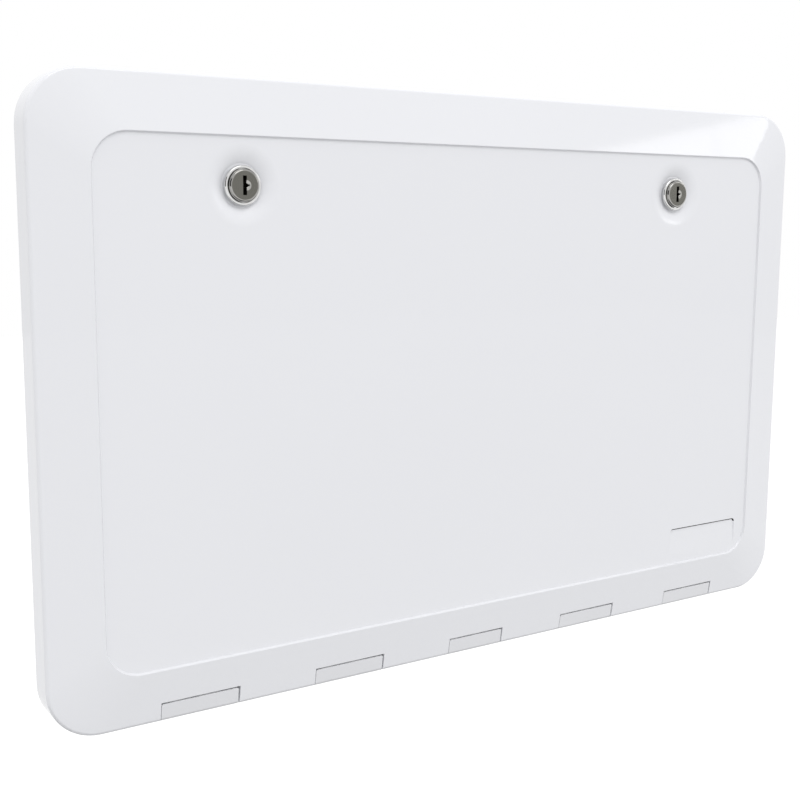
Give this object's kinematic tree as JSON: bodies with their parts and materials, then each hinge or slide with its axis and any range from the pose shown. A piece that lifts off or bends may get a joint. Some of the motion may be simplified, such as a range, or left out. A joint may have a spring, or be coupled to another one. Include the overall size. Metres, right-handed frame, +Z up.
{
  "type": "rv luggage door",
  "caption": "White moulded luggage door for a motorhome wall: bottom-hinged leaf with sloped border, recessed panel and turning cam locks on a flanged wall frame with a rubber seal.",
  "frame": {"origin": "centre of the wall cut-out, on the flat back of the frame's flange, which lies on the wall's outer face", "axes": "+Z up, -Y out of the wall towards the viewer, +Y into the wall, +X to the right seen from the front"},
  "size_m": [0.61, 0.0542, 0.385],
  "materials": {
    "door_abs": "injection moulded, glossy white",
    "knuckle_abs": "injection moulded, glossy white",
    "liner_abs": "formed, soft gloss white",
    "frame_abs": "injection moulded, glossy white",
    "seal_rubber": "matt black",
    "stainless": "drawn rod",
    "lock_chrome": "polished chrome plate",
    "plug_satin": "satin nickel, darkened",
    "plated_steel": "zinc plated"
  },
  "bodies": {
    "frame": {"wall_frame": "frame_abs", "frame_seal": "seal_rubber", "hinge_knuckle_1": "knuckle_abs", "hinge_knuckle_2": "knuckle_abs", "hinge_knuckle_3": "knuckle_abs", "hinge_knuckle_4": "knuckle_abs", "hinge_knuckle_5": "knuckle_abs", "hinge_rod": "stainless", "left_keeper": "plated_steel", "right_keeper": "plated_steel"},
    "door": {"door_skin": "door_abs", "door_liner": "liner_abs", "left_lock_body": "lock_chrome", "left_lock_nut": "plated_steel", "right_lock_body": "lock_chrome", "right_lock_nut": "plated_steel"},
    "left_lock": {"left_lock_plug": "plug_satin", "left_lock_cam": "plated_steel", "left_cam_bolt": "plated_steel"},
    "right_lock": {"right_lock_plug": "plug_satin", "right_lock_cam": "plated_steel", "right_cam_bolt": "plated_steel"}
  },
  "joints": [
    {"name": "door_hinge", "type": "hinge", "parent": "frame", "child": "door", "pos_m": [0, -0.0165, -0.1855], "axis": [1, 0, 0], "range_deg": [0, 170]},
    {"name": "left_lock_turn", "type": "hinge", "parent": "door", "child": "left_lock", "pos_m": [-0.1783, 0, 0.1295], "axis": [0, 1, 0], "range_deg": [0, 90]},
    {"name": "right_lock_turn", "type": "hinge", "parent": "door", "child": "right_lock", "pos_m": [0.1783, 0, 0.1295], "axis": [0, 1, 0], "range_deg": [0, 90]}
  ]
}
